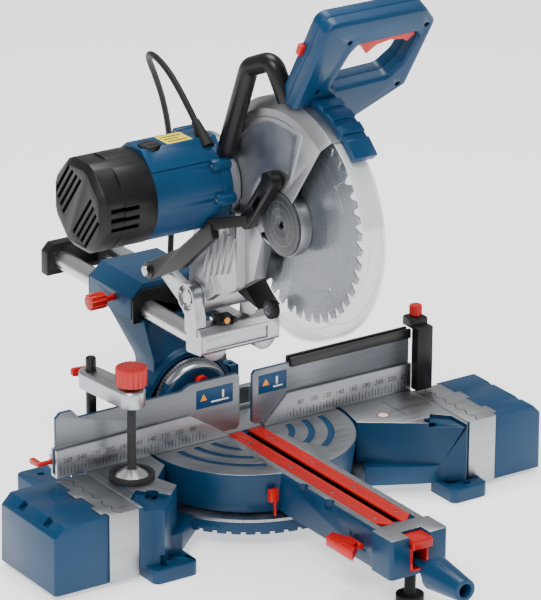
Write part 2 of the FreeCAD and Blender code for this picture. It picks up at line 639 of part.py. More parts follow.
def head_screws():
    screws = [lean(cut(cyl_y(x, d, 3.3, -10, 8), cyl_y(x, d, 1.6, -11, -7))) for x, d in HANDLE_HOLES]
    for a in BOSS_ANGLES:
        y = MOTOR_Y + 61 * math.cos(math.radians(a))
        z = MOTOR_Z + 61 * math.sin(math.radians(a))
        screws.append(cut(cyl_x(y, z, 3.4, -69, -66), cyl_x(y, z, 1.6, -70, -67.5)))
    return group(*screws)


def lean(shape):
    """From the upright handle plane to its forward lean above the guard."""
    shape.rotate(V(0, 0, 0), V(1, 0, 0), HANDLE_LEAN)
    shape.translate(V(0, -125, 560))
    return shape


def handle_half(y0, y1, chamfer_front):
    body = plate_y(HANDLE_OUT, HANDLE_OUT_R, y0, y1)
    window = plate_y(HANDLE_WIN, HANDLE_WIN_R, -30, 30)
    body = cut(body, window)
    face_y = y0 if chamfer_front else y1
    rim = [e for e in body.Edges if abs(e.BoundBox.YMin - face_y) < 0.01 and e.BoundBox.YLength < 0.02]
    body = body.makeChamfer(3.6, rim)
    tools = [cyl_y(x, s, 3.4, -30, 30) for x, s in HANDLE_HOLES]
    tools += [box(24, 124, -13, 13, 92, 121), box(-33, -18, 6.9, 15.1, 73.9, 88.1)]
    return lean(cut(body, *tools))


def trigger():
    outline = [(37, 112), (37, 98), (46, 88), (54, 76), (66, 88), (84, 92), (104, 89), (110, 84), (118, 92),
               (118, 112)]
    body = plate_y(outline, [2, 2, 2, 2.5, 4, 8, 8, 2, 2, 2], -12.5, 12.5)
    return lean(body)


def lock_button():
    return lean(box(-29, -22, 7, 15, 74, 88))


def transport_handle():
    """Bent tube between the gear case and the grip's base."""
    points = [(-43, -16, 474), (-41, -64, 596), (-32, -100, 612), (-24, -120, 566)]
    return tube_along(points, [15, 13], 12.0)


def tube_along(points, radii, r):
    """Straight runs joined by tangent arcs, with a round section of radius r."""
    vecs = [V(*p) for p in points]
    edges = []
    here = vecs[0]
    for i in range(1, len(vecs) - 1):
        back = vecs[i - 1] - vecs[i]
        ahead = vecs[i + 1] - vecs[i]
        turn = math.pi - back.getAngle(ahead)
        reach = radii[i - 1] * math.tan(turn / 2)
        back.normalize()
        ahead.normalize()
        start = vecs[i] + back * reach
        stop = vecs[i] + ahead * reach
        middle = back + ahead
        middle.normalize()
        centre = vecs[i] + middle * (radii[i - 1] / math.cos(turn / 2))
        if (start - here).Length > 1e-6:
            edges.append(Part.LineSegment(here, start).toShape())
        edges.append(Part.Arc(start, centre - middle * radii[i - 1], stop).toShape())
        here = stop
    edges.append(Part.LineSegment(here, vecs[-1]).toShape())
    path = Part.Wire(edges)
    aim = vecs[1] - vecs[0]
    section = Part.Wire([Part.Circle(vecs[0], aim, r).toShape()])
    return path.makePipeShell([section], True, False)


def dust_chute(casting):
    outline = [(60, 372), (57, 300), (30, 290), (8, 284), (-12, 280), (-44, 275), (-50, 300), (0, 372)]
    body = prism_x(outline, -13.4, 19)
    return cut(body, cyl_x(ARBOR_Y, ARBOR_Z, 155, -20, 30), cyl_x(HINGE_Y, HINGE_Z, 24, -60, 60), casting)


def strain_relief():
    aim = V(0, 27, 24)
    aim.normalize()
    start = V(-60, -3, 481)
    sleeve = Part.makeCone(9, 5.2, 38, start, aim)
    rings = [Part.makeCylinder(7.6 - 0.7 * i, 2, start + aim * (12 + 7 * i), aim) for i in range(4)]
    return fuse(sleeve, *rings)


def saw_blade():
    points = []
    gap = 2 * math.pi / TEETH
    for i in range(TEETH):
        a = gap * i
        for r, f in ((BLADE_R, 0.0), (BLADE_R - 1.6, 0.42), (BLADE_R - 12, 0.55), (BLADE_R - 12.5, 0.72),
                     (BLADE_R - 7, 0.9)):
            points.append((ARBOR_Y + r * math.cos(a + f * gap), ARBOR_Z + r * math.sin(a + f * gap)))
    disc = prism_x(points, -BLADE_HALF, BLADE_HALF)
    slots = [cyl_x(ARBOR_Y, ARBOR_Z, 15, -3, 3)]
    for k in range(4):
        cutout = box(-3, 3, -0.6, 0.6, BLADE_R - 34, BLADE_R - 12)
        cutout = fuse(cutout, cyl_x(0, BLADE_R - 34, 3, -3, 3))
        cutout.rotate(V(0, 0, 0), V(1, 0, 0), 90 * k + 49.5)
        cutout.translate(V(0, ARBOR_Y, ARBOR_Z))
        slots.append(cutout)
    return cut(disc, *slots)


def spindle():
    shaft = cyl_x(ARBOR_Y, ARBOR_Z, SHAFT_R, -26, 6)
    seat = cyl_x(ARBOR_Y, ARBOR_Z, 15, -BLADE_HALF, BLADE_HALF)
    pulley = fuse(cyl_x(ARBOR_Y, ARBOR_Z, 32, -26, -17), cyl_x(ARBOR_Y, ARBOR_Z, 13, -17, -15.4))
    hexagon = []
    for k in range(6):
        a = math.radians(60 * k)
        hexagon.append((ARBOR_Y + 9 * math.cos(a), ARBOR_Z + 9 * math.sin(a)))
    flanges = [cyl_x(ARBOR_Y, ARBOR_Z, 22, x0, x1) for x0, x1 in ((-6, -BLADE_HALF), (BLADE_HALF, 6))]
    return fuse(shaft, seat, pulley, *flanges, cyl_x(ARBOR_Y, ARBOR_Z, 11, 6, 8), prism_x(hexagon, 8, 15))


def rotor():
    shaft = cyl_x(MOTOR_Y, MOTOR_Z, 6, -216, -17)
    core = cyl_x(MOTOR_Y, MOTOR_Z, 32, -145, -85)
    fan = cyl_x(MOTOR_Y, MOTOR_Z, 42, -70, -60)
    commutator = cyl_x(MOTOR_Y, MOTOR_Z, 18, -178, -155)
    pulley = cyl_x(MOTOR_Y, MOTOR_Z, 15.7, -26, -17)
    return fuse(shaft, core, fan, commutator, pulley)


def drive_belt():
    outer = hull_x(ARBOR_Y, ARBOR_Z, 35, MOTOR_Y, MOTOR_Z, 18.7, -25.5, -17.5)
    return cut(outer, hull_x(ARBOR_Y, ARBOR_Z, 32.4, MOTOR_Y, MOTOR_Z, 16.1, -27, -16))


def lower_guard():
    profile = [(30, -12), (LOWER_R, -12), (LOWER_R, 17), (141, 24), (60, 24), (60, 22), (140, 22),
               (LOWER_R - 2, 16), (LOWER_R - 2, -10), (30, -10)]
    shell = turned_x(profile, 112, 178)
    hub = cyl_x(ARBOR_Y, ARBOR_Z, 33, -12, -10)
    rim = turned_x([(58, 20.5), (62, 20.5), (62, 24), (58, 24)], 112, 178)
    body = fuse(shell, hub, rim)
    pin = fuse(cyl_x(*ROLLER_AT, 4, -24.5, -10), cyl_x(*ROLLER_AT, 6, -26, -24.5))
    return fuse(cut(body, cyl_x(ARBOR_Y, ARBOR_Z, 20 + RUN, -20, 0)), pin)


def guard_roller():
    wheel = cyl_x(*ROLLER_AT, 12, -24, -14)
    wheel = wheel.makeFillet(1.5, [wheel.Edges[0], wheel.Edges[2]])
    return cut(wheel, cyl_x(*ROLLER_AT, 4 + RUN, -30, 0))


def guard_link():
    lower = plate_x([(118, 296), (104, 279), (32, 317), (-38, 377), (-30, 398), (38, 342)],
                    [9, 8, 12, 4, 4, 12], -76, -66)
    near = cyl_x(107, 291, 11, -77.5, -62)
    upper = hull_x(-60, 400, 10, -112, 467, 10.5, -45, -35)
    kink = prism([(-76, -28, 385), (-66, -28, 385), (-35, -66, 396), (-45, -66, 396)], (0, 3, 13))
    far = cyl_x(-112, 467, 12, -48, -34)
    body = fuse(lower, near, upper, kink, far)
    return cut(body, cyl_x(107, 291, 4 + RUN, -90, -50), hull_x(-80, 425, 4, -90, 438, 4, -50, -30))


# ---------------------------------------------------------------- clamp and fences


def clamp_arm():
    body = hull_z(POST_X, POST_Y, 15, SCREW_X, SCREW_Y, 17, 190, 212)
    edges = [e for e in body.Edges if e.BoundBox.ZLength < 0.01 and abs(e.BoundBox.ZMin - 212) < 0.01]
    body = body.makeChamfer(2.5, edges)
    return cut(body, cyl_z(POST_X, POST_Y, POST_R + RUN, 180, 220), cyl_z(SCREW_X, SCREW_Y, SCREW_R + RUN, 180, 220),
               cyl_y(POST_X + 3, 201, 3 + RUN, POST_Y + 7, 60))


def clamp_wing():
    pin = cyl_y(POST_X + 3, 201, 3, POST_Y + 8, 64)
    wing = plate_y([(POST_X - 12, 197), (POST_X + 18, 195), (POST_X + 18, 205), (POST_X - 12, 207)], 3, 56, 62)
    return fuse(pin, wing)


def clamp_screw():
    rod = cyl_z(SCREW_X, SCREW_Y, SCREW_R, 101, 224)
    knob = fluted(19.5, 1.8, 20, 217, 240, SCREW_X, SCREW_Y)
    return fuse(rod, cyl_z(SCREW_X, SCREW_Y, 9, 212.6, 217), knob)


def clamp_pad():
    ring = cut(cyl_z(SCREW_X, SCREW_Y, 28, 95.5, 102), cyl_z(SCREW_X, SCREW_Y, 23, 97.5, 103))
    cone = cone_z(SCREW_X, SCREW_Y, 23, 8, 97.5, 108)
    return group(ring, cut(cone, cyl_z(SCREW_X, SCREW_Y, SCREW_R, 101, 110)))


def fence_left():
    outline = [(-273, 99.6), (-12, 99.6), (-8, 104), (-8, 168), (-12, 173.5), (-80, 173.5),
               (-94, UPPER_TOP), (-240, UPPER_TOP), (-250, 178), (-266, 178), (-273, 172)]
    return prism_y(outline, *PLATE_Y)


def fence_right():
    outline = [(11, 103), (15, 99.6), (249, 99.6), (249, 167), (66, 167), (66, 171),
               (15, 171), (11, 166)]
    rail = cut(box(66, 249, 0, 14, 166, 178), box(60, 270, 5, 10, 172, 180))
    return fuse(prism_y(outline, *PLATE_Y), rail)


def stop_block():
    body = box(249.5, 273, -14, -0.5, 97.5, 182).fuse(box(249.5, 273, -2, 20, 178.6, 192))
    body = body.removeSplitter()
    edges = [e for e in body.Edges if e.BoundBox.ZMin > 191.9]
    return cut(body.makeChamfer(2, edges), cyl_z(261, 8, 4 + RUN, 175, 195))


def stop_screw():
    knob = fluted(8.5, 1.2, 14, 193, 206, 261, 8)
    return fuse(knob, cyl_z(261, 8, 4, 179, 194))


def fence_lock():
    pin = cyl_x(14.5, 113, 3, -294, -266)
    wing = plate_x([(12, 110.5), (34, 108), (34, 115.5), (12, 115.5)], 2, -294, -288)
    return fuse(pin, wing)


def extension(side):
    x0 = 236.3 if side < 0 else 250.3
    x1 = x0 + 42
    plate = box(x0, x1, -127, -4, 6, 95)
    teeth = [box(x1 - 0.1, x1 + 7, y, y + 22, 84, 95) for y in (-116, -60)]
    plate = fuse(cut(plate, box(x0 + 8, x1 + 9, -120, -11, -1, 84)), *teeth)
    reach = (40, 70)
    body = fuse(plate, *[cyl_x(y, ROD_Z, ROD_R, x0 - n, x0 + 9) for y, n in zip(ROD_Y, reach)])
    body = cut(body, box(250, 266.5, -128, -99, 0, 18.6)) if side > 0 else body
    edges = [e for e in body.Edges if e.BoundBox.ZLength > 80 and e.BoundBox.YMax < -126]
    body = body.makeChamfer(1.5, edges)
    return mirrored(body) if side < 0 else body


def end_cap(side):
    x0 = (236.3 if side < 0 else 250.3) + 42.2
    reach = 353 if side < 0 else 366
    profile = [(x0, 6), (reach, 6), (reach - 1, 80), (reach - 14, 93.5), (x0, 93.5)]
    body = prism_y(profile, -124, 3)
    body = cut(body, prism_y([(x0 - 1, 0), (reach - 6, 0), (reach - 7, 76), (reach - 18, 87), (x0 - 1, 87)], -118, -3))
    teeth = [box(x0 - 1, x0 + 7.5, y - 0.3, y + 22.3, 83, 96) for y in (-116, -60)]
    squares = [box(reach - 16, reach - 6, y, y + 12, 84, 96) for y in (-98, -40)]
    body = cut(body, *teeth, *squares)
    edges = [e for e in body.Edges if e.BoundBox.ZLength > 60 and abs(e.BoundBox.YMin + 124) < 0.1
             and e.BoundBox.XMax > reach - 3]
    body = body.makeChamfer(3, edges)
    return mirrored(body) if side < 0 else body


# ---------------------------------------------------------------- mains lead


def cord_radii(points):
    """Arc radius at each inner point: 0.45 of the shorter run over the tangent of half the turn."""
    vecs = [V(*p) for p in points]
    radii = []
    for i in range(1, len(vecs) - 1):
        back = vecs[i] - vecs[i - 1]
        ahead = vecs[i + 1] - vecs[i]
        turn = back.getAngle(ahead)
        radii.append(0.45 * min(back.Length, ahead.Length) / math.tan(turn / 2))
    return radii


def mains_cord():
    radii = cord_radii(CORD_ROUTE)
    print("cord radii", [round(r) for r in radii])
    tube = tube_along(CORD_ROUTE, radii, CORD_R)
    runs = sum((V(*b) - V(*a)).Length for a, b in zip(CORD_ROUTE, CORD_ROUTE[1:]))
    print("cord runs", round(runs), "tube length", round(tube.Volume / (math.pi * CORD_R ** 2)))
    return tube


def cord_coil():
    outer = cyl_z(*COIL_AT, COIL_R + COIL_WIDE / 2, 0.2, COIL_TALL)
    return cut(outer, cyl_z(*COIL_AT, COIL_R - COIL_WIDE / 2, 0, COIL_TALL + 1))


def mains_plug():
    body = box(COIL_AT[0] - 22, COIL_AT[0] + 22, COIL_AT[1] - 14, COIL_AT[1] + 14, COIL_TALL + 0.3, COIL_TALL + 24)
    pins = [cyl_x(COIL_AT[1] + s * 9.5, COIL_TALL + 12, 2.4, COIL_AT[0] + 21, COIL_AT[0] + 41) for s in (-1, 1)]
    return fuse(body, *pins)


def largest(shape):
    """The main body of a shape that other pieces have cut through."""
    return max(shape.Solids, key=lambda solid: solid.Volume)


def build():
    table = turntable()
    arm = tilt_arm()
    casting = head_casting()
    relief = strain_relief()
    guard = largest(upper_guard(casting))
    cover = cut(guard_cover(), guard)
    round_guard = cyl_x(ARBOR_Y, ARBOR_Z, GUARD_R + 0.2, -32.5, 31)
    beside_guard = cyl_x(ARBOR_Y, ARBOR_Z, GUARD_R + 0.2, -60, 31)
    housing = cut(motor_housing(), casting, relief)
    front = largest(cut(handle_half(-17, -0.05, True), beside_guard, cover))
    rear = largest(cut(handle_half(0.05, 17, False), beside_guard, cover))
    carry = largest(cut(transport_handle(), round_guard, casting, front, rear, cover, housing))
    return {
        "base_casting": base_casting(), "miter_scale": miter_scale(), "pivot_bolt": pivot_bolt(),
        "fence_casting": fence_casting(), "clamp_post": clamp_post(),
        "turntable": table, "kerf_inserts": group(kerf_insert(-1), kerf_insert(1)),
        "bevel_scale": cut(bevel_scale(), table), "bevel_shaft": bevel_shaft(), "miter_pointer": cut(miter_pointer(), table),
        "arm_foot": arm_foot(), "miter_knob": miter_knob(), "detent_tab": detent_tab(),
        "detent_lever": detent_lever(), "tilt_arm": arm, "rail_bushes": cut(rail_bushes(), arm),
        "bevel_lock_lever": bevel_lock_lever(), "bevel_button": bevel_button(),
        "slide_lock_knob": slide_lock_knob(), "rails": rails(), "rail_end_plate": rail_end_plate(),
        "front_bracket": front_bracket(), "pivot_shaft": pivot_shaft(), "depth_stop": depth_stop(),
        "head_casting": casting, "upper_guard": guard, "guard_cover": cover, "motor_housing": housing,
        "motor_end_cap": motor_end_cap(), "head_screws": head_screws(), "handle_front": front,
        "handle_rear": rear, "transport_handle": carry, "dust_chute": dust_chute(casting),
        "strain_relief": relief, "drive_belt": drive_belt(), "trigger": trigger(), "lock_button": lock_button(),
        "saw_blade": saw_blade(), "spindle": spindle(), "rotor": rotor(), "lower_guard": lower_guard(),
        "guard_roller": guard_roller(), "guard_link": guard_link(), "clamp_arm": clamp_arm(),
        "clamp_wing": clamp_wing(), "clamp_screw": clamp_screw(), "clamp_pad": clamp_pad(),
        "fence_left": fence_left(), "fence_right": fence_right(), "stop_block": stop_block(),
        "stop_screw": stop_screw(), "fence_lock": fence_lock(), "extension_left": extension(-1),
        "extension_right": extension(1), "end_cap_left": end_cap(-1), "end_cap_right": end_cap(1),
        "mains_cord": mains_cord(), "cord_coil": cord_coil(), "mains_plug": mains_plug(),
    }


os.makedirs("parts", exist_ok=True)
for name, shape in build().items():
    if len(shape.Solids) == 1:
        shape = shape.Solids[0]
    print(name, len(shape.Solids), shape.isValid(), round(shape.Volume / 1000, 1))
    shape.exportStep("parts/" + name + ".step")
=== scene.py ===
import json
import math

import bpy
from mathutils import Matrix, Vector


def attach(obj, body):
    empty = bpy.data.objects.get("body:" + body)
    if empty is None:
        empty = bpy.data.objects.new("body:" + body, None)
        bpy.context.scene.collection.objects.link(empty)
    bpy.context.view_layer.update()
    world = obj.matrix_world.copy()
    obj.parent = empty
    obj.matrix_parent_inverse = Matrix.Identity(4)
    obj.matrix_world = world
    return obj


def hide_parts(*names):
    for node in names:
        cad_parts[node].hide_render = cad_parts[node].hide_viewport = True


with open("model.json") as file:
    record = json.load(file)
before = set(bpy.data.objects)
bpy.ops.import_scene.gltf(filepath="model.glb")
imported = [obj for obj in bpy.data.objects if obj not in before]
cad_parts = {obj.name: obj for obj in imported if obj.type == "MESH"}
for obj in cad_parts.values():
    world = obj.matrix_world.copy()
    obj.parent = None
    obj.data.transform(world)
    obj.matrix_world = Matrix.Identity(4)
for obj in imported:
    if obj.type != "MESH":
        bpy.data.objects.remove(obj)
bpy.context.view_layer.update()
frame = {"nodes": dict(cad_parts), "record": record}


# ---------------------------------------------------------------- the shop's common tools
# Every piece rides on the body that its frame node rides on. Lengths are metres, in the
# frame's own axes, and mm() turns drawing sizes into them.


BODIES = frame["record"]["behaviour"]["bodies"]
BODY_OF = {node: body for body, nodes in BODIES.items() for node in nodes}
WELD = 0.000002
FLAT_WITHIN = math.radians(0.4)
SMOOTH_WITHIN = math.radians(35)
FACING_UP = 0.6
FACING_FRONT = -0.6
DEGREES = 180.0 / math.pi


def mm(*sizes):
    return tuple(size / 1000 for size in sizes)


def pick(piece):
    bpy.ops.object.select_all(action="DESELECT")
    piece.select_set(True)
    bpy.context.view_layer.objects.active = piece


class Signal:
    """One varying value of a finish. Sums, products and comparisons of it are Math nodes."""

    def __init__(self, socket):
        self.socket = socket
        self.tree = socket.id_data

    def through(self, kind, into=0, out=0, settings=None, inputs=None):
        """The value fed through a node of any kind."""
        node = self.tree.nodes.new(kind)
        for key, value in (settings or {}).items():
            setattr(node, key, value)
        self.tree.links.new(self.socket, node.inputs[into])
        for key, value in (inputs or {}).items():
            if isinstance(value, Signal):
                self.tree.links.new(value.socket, node.inputs[key])
            else:
                node.inputs[key].default_value = value
        return Signal(node.outputs[out])

    def math(self, operation, other=0.0):
        return self.through("ShaderNodeMath", settings={"operation": operation}, inputs={1: other})

    def __add__(self, other):
        return self.math("ADD", other)

    __radd__ = __add__

    def __sub__(self, other):
        return self.math("SUBTRACT", other)

    def __rsub__(self, other):
        return self * -1.0 + other

    def __mul__(self, other):
        return self.math("MULTIPLY", other)

    __rmul__ = __mul__

    def __truediv__(self, other):
        return self.math("DIVIDE", other)

    def __rtruediv__(self, other):
        return self.math("POWER", -1.0) * other

    def __gt__(self, other):
        return self.math("GREATER_THAN", other)

    def __lt__(self, other):
        return self.math("LESS_THAN", other)


class Finish:
    """A material with its shader, the place on the piece in metres and the way the surface faces."""

    def __init__(self, name, colour, roughness, metallic=0.0, **fixed):
        self.material = bpy.data.materials.new(name)
        self.material.use_nodes = True
        self.tree = self.material.node_tree
        self.shader = self.tree.nodes["Principled BSDF"]
        self.shader.inputs["Base Color"].default_value = (*colour, 1.0)
        self.shader.inputs["Roughness"].default_value = roughness
        self.shader.inputs["Metallic"].default_value = metallic
        for key, value in fixed.items():
            self.shader.inputs[key.replace("_", " ")].default_value = value
        self.spot = Signal(self.tree.nodes.new("ShaderNodeTexCoord").outputs["Object"])
        self.x, self.y, self.z = self.parts(self.spot)
        geometry = self.tree.nodes.new("ShaderNodeNewGeometry")
        self.pointed = Signal(geometry.outputs["Pointiness"])
        facing = Signal(self.tree.nodes.new("ShaderNodeTexCoord").outputs["Normal"])
        self.face_x, self.face_y, self.face_z = self.parts(facing)

    def parts(self, vector):
        split = self.tree.nodes.new("ShaderNodeSeparateXYZ")
        self.tree.links.new(vector.socket, split.inputs[0])
        return [Signal(output) for output in split.outputs]

    def speckle(self, scale, detail=3.0, stretch=(1, 1, 1)):
        """Noise of that many spots a metre, drawn out along an axis by a small stretch."""
        laid = self.spot.through("ShaderNodeMapping", inputs={"Scale": stretch})
        spots = {"Scale": scale, "Detail": detail}
        return laid.through("ShaderNodeTexNoise", into="Vector", inputs=spots)

    def ramp(self, value, low, high, a, b):
        """Carries value from low..high to a..b, held at both ends."""
        return value.through("ShaderNodeMapRange", inputs={1: low, 2: high, 3: a, 4: b})

    def mix(self, factor, first, second):
        settings = {"data_type": "RGBA"}
        colours = {6: first if isinstance(first, Signal) else (*first, 1.0),
                   7: second if isinstance(second, Signal) else (*second, 1.0)}
        return factor.through("ShaderNodeMix", out=2, settings=settings, inputs=colours)

    def feed(self, name, value):
        self.tree.links.new(value.socket, self.shader.inputs[name])

    def bump(self, height, depth, strength=1.0):
        """Relief of depth metres where height goes from 0 to 1."""
        settings = {"Strength": strength, "Distance": depth}
        self.feed("Normal", height.through("ShaderNodeBump", into="Height", inputs=settings))


def eased(node, width, finish, angle=math.radians(32)):
    """A frame node's own shape with its edges broken by width millimetres, standing for that node."""
    source = frame["nodes"][node]
    piece = source.copy()
    piece.data = source.data.copy()
    piece.name = node + "_finished"
    bpy.context.collection.objects.link(piece)
    piece.parent = None
    piece.matrix_world = Matrix.Identity(4)
    pick(piece)
    bpy.ops.mesh.customdata_custom_splitnormals_clear()
    bpy.ops.object.mode_set(mode="EDIT")
    bpy.ops.mesh.select_all(action="SELECT")
    bpy.ops.mesh.remove_doubles(threshold=WELD)
    bpy.ops.mesh.dissolve_limited(angle_limit=FLAT_WITHIN)
    bpy.ops.object.mode_set(mode="OBJECT")
    if width:
        bevel = piece.modifiers.new("Broken edges", "BEVEL")
        bevel.width = width / 1000
        bevel.segments = 2
        bevel.limit_method = "ANGLE"
        bevel.angle_limit = angle
        bevel.use_clamp_overlap = False
        bpy.ops.object.modifier_apply(modifier=bevel.name)
    bpy.ops.object.shade_smooth_by_angle(angle=angle)
    coat(piece, finish)
    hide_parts(node)
    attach(piece, BODY_OF[node])
    return piece


def coat(piece, finish):
    piece.data.materials.clear()
    piece.data.materials.append(finish.material)


def settle(piece, name, body, finish):
    """Bakes a new piece's place into its mesh, names it, coats it and sets it on its body."""
    piece.name = name
    pick(piece)
    bpy.ops.object.transform_apply(location=True, rotation=True, scale=True)
    coat(piece, finish)
    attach(piece, body)
    return piece


def shaped_block(name, body, finish, lowest, highest, width=0.5):
    """A block between two corners, in millimetres, with its edges broken."""
    bpy.ops.mesh.primitive_cube_add(size=1.0)
    piece = bpy.context.object
    piece.location = mm(*[(a + b) / 2 for a, b in zip(lowest, highest)])
    piece.scale = mm(*[b - a for a, b in zip(lowest, highest)])
    pick(piece)
    bpy.ops.object.transform_apply(location=True, rotation=True, scale=True)
    bpy.ops.object.mode_set(mode="EDIT")
    bpy.ops.mesh.select_all(action="SELECT")
    bpy.ops.mesh.bevel(offset=width / 1000, segments=2, affect="EDGES")
    bpy.ops.object.mode_set(mode="OBJECT")
    bpy.ops.object.shade_smooth_by_angle(angle=SMOOTH_WITHIN)
    return settle(piece, name, body, finish)


def shaped_round(name, body, finish, centre, radius, length, turn=(0, 0, 0), sides=40, width=0.5):
    """A turned disc or pin, in millimetres, its axis turned from Z, with its rims broken."""
    bpy.ops.mesh.primitive_cylinder_add(vertices=sides, radius=radius / 1000, depth=length / 1000)
    piece = bpy.context.object
    piece.location = mm(*centre)
    piece.rotation_euler = [math.radians(a) for a in turn]
    bevel = piece.modifiers.new("Broken rims", "BEVEL")
    bevel.width = width / 1000
    bevel.segments = 2
    bevel.limit_method = "ANGLE"
    pick(piece)
    bpy.ops.object.modifier_apply(modifier=bevel.name)
    bpy.ops.object.shade_smooth_by_angle(angle=SMOOTH_WITHIN)
    return settle(piece, name, body, finish)


SIZE_OF_HEIGHT = 1.35
FIGURE_RELIEF = 0.00004


def numeral(text, name, body, finish, centre, height, turn):
    """Flat figures as a thin mesh, in millimetres."""
    bpy.ops.object.text_add()
    piece = bpy.context.object
    piece.data.body = text
    piece.data.size = height / 1000 * SIZE_OF_HEIGHT
    piece.data.align_x = "CENTER"
    piece.data.align_y = "CENTER"
    piece.data.extrude = FIGURE_RELIEF
    piece.location = mm(*centre)
    piece.rotation_euler = [math.radians(a) for a in turn]
    pick(piece)
    bpy.ops.object.convert(target="MESH")
    return settle(bpy.context.object, name, body, finish)


# ---------------------------------------------------------------- base, decks and turntable
# Blue painted castings whose working faces are machined bright after painting. The finish
# turns to bare metal wherever a face looks up at table height.


BLUE = (0.0008, 0.036, 0.095)
BLUE_DARK = (0.0005, 0.026, 0.070)
BRIGHT = (0.42, 0.43, 0.45)
DULL = (0.33, 0.34, 0.36)
BLACK = (0.005, 0.005, 0.0055)
RED = (0.50, 0.006, 0.004)
INK = (0.02, 0.02, 0.02)
BLUE_EDGE_HIGHLIGHT = (0.008, 0.085, 0.18)
TABLE_HEIGHT = 0.0942
TROUGH_HALF = 0.0225
TROUGH_FRONT, TROUGH_BACK = -0.3185, 0.0025
TROUGH_TOP = 0.0915


def painted(name, bare=None, painted_shade=None):
    """Cast metal in satin blue paint. bare says where it is machined; the other mask says where it is
    painted black as painted shade.
    """
    finish = Finish(name, BLUE, 0.36, Specular_IOR_Level=0.30)
    peel = finish.speckle(900.0, 2.0)
    cloud = finish.speckle(9.0, 4.0)
    colour = finish.mix(finish.ramp(cloud, 0.3, 0.7, 0.0, 1.0), BLUE_DARK, BLUE)
    # Sharp edges are painted a lighter blue as a painted highlight.
    colour = finish.mix(finish.ramp(finish.pointed, 0.52, 0.60, 0.0, 0.35), colour, BLUE_EDGE_HIGHLIGHT)
    rough = finish.ramp(cloud, 0.3, 0.7, 0.30, 0.42)
    if bare:
        where = bare(finish)
        lines = finish.speckle(60.0, 4.0, (0.25, 14.0, 1.0))
        metal = finish.mix(finish.ramp(lines, 0.3, 0.7, 0.0, 1.0), DULL, BRIGHT)
        colour = finish.mix(where, colour, metal)
        rough = rough + where * (finish.ramp(lines, 0.3, 0.7, 0.28, 0.44) - rough)
        finish.feed("Metallic", where)
    if painted_shade:
        # The masked recess is painted black: painted shade.
        colour = finish.mix(painted_shade(finish), colour, BLACK)
    finish.feed("Base Color", colour)
    finish.feed("Roughness", rough)
    finish.bump(peel, 0.00005, 0.5)
    return finish


def at_table_height(finish):
    return (finish.z > TABLE_HEIGHT) * (finish.face_z > FACING_UP)


# The deep trough under the blade slot is painted black on the turntable: painted shade.
def in_the_trough(finish):
    across = finish.x.math("ABSOLUTE") < TROUGH_HALF
    along = (finish.y > TROUGH_FRONT) * (finish.y < TROUGH_BACK)
    return across * along * (finish.z < TROUGH_TOP)


base_paint = painted("base_paint", bare=at_table_height)
table_paint = painted("turntable_paint", bare=at_table_height, painted_shade=in_the_trough)
plain_paint = painted("casting_paint")
eased("base_casting", 0.8, base_paint)
eased("turntable", 0.7, table_paint)
eased("tilt_arm", 0.9, plain_paint)


# ---------------------------------------------------------------- moulded parts
# Satin black, blue and red mouldings. They share a fine mould grain, and their sharp
# edges are painted lighter as a painted highlight.


def moulded(name, colour, roughness, grain=0.00003):
    finish = Finish(name, colour, roughness, Specular_IOR_Level=0.28)
    cloud = finish.speckle(14.0, 4.0)
    edge_highlight = tuple(min(1.0, part * 1.3 + 0.003) for part in colour)
    darker = tuple(part * 0.82 for part in colour)
    shade = finish.mix(finish.ramp(cloud, 0.3, 0.7, 0.0, 1.0), darker, colour)
    # Sharp edges are painted lighter: a painted highlight.
    shade = finish.mix(finish.ramp(finish.pointed, 0.52, 0.62, 0.0, 0.6), shade, edge_highlight)
    finish.feed("Base Color", shade)
    finish.feed("Roughness", finish.ramp(cloud, 0.3, 0.7, roughness - 0.06, roughness + 0.07))
    finish.bump(finish.speckle(1600.0, 2.0), grain, 0.6)
    return finish


MOULDING_BLUE = (0.0008, 0.038, 0.100)
black_mould = moulded("black_moulding", BLACK, 0.42)
black_paint = moulded("black_paint", (0.006, 0.006, 0.0065), 0.34, 0.00002)
rubber = moulded("black_rubber", (0.005, 0.005, 0.005), 0.62, 0.00006)
blue_mould = moulded("blue_moulding", MOULDING_BLUE, 0.32)
red_mould = moulded("red_moulding", RED, 0.32)
white_print = moulded("white_print", (0.75, 0.75, 0.74), 0.45, 0.00001)
# Dark print for figures and label bars, also laid over screw slots as painted shade.
dark_print = moulded("dark_print", (0.03, 0.03, 0.032), 0.5, 0.00001)

for node in ("rail_bushes", "bevel_lock_lever", "rail_end_plate", "depth_stop", "dust_chute"):
    eased(node, 0.6, black_mould)
for node in ("transport_handle", "guard_link", "clamp_post", "stop_block"):
    eased(node, 0.5, black_paint)
for node in ("arm_foot", "strain_relief", "drive_belt", "guard_roller"):
    eased(node, 0.3, rubber)
for node in ("miter_knob", "guard_cover", "end_cap_left", "end_cap_right"):
    eased(node, 0.7, blue_mould)
for node in ("miter_pointer", "detent_tab", "detent_lever", "bevel_button", "slide_lock_knob",
             "trigger", "lock_button", "clamp_wing", "stop_screw", "fence_lock"):
    eased(node, 0.35, red_mould)


# ---------------------------------------------------------------- bright metal
# Cast aluminium is cloudy and faintly pitted, turned steel carries fine rings and drawn
# tube carries lines along its length.


def cast(name, colour=BRIGHT, roughness=0.42):
    finish = Finish(name, colour, roughness, 1.0)
    cloud = finish.speckle(22.0, 5.0)
    darker = tuple(part * 0.86 for part in colour)
    finish.feed("Base Color", finish.mix(finish.ramp(cloud, 0.3, 0.7, 0.0, 1.0), darker, colour))
    finish.feed("Roughness", finish.ramp(cloud, 0.3, 0.7, roughness - 0.08, roughness + 0.08))
    finish.bump(finish.speckle(520.0, 4.0), 0.00012, 0.5)
    return finish


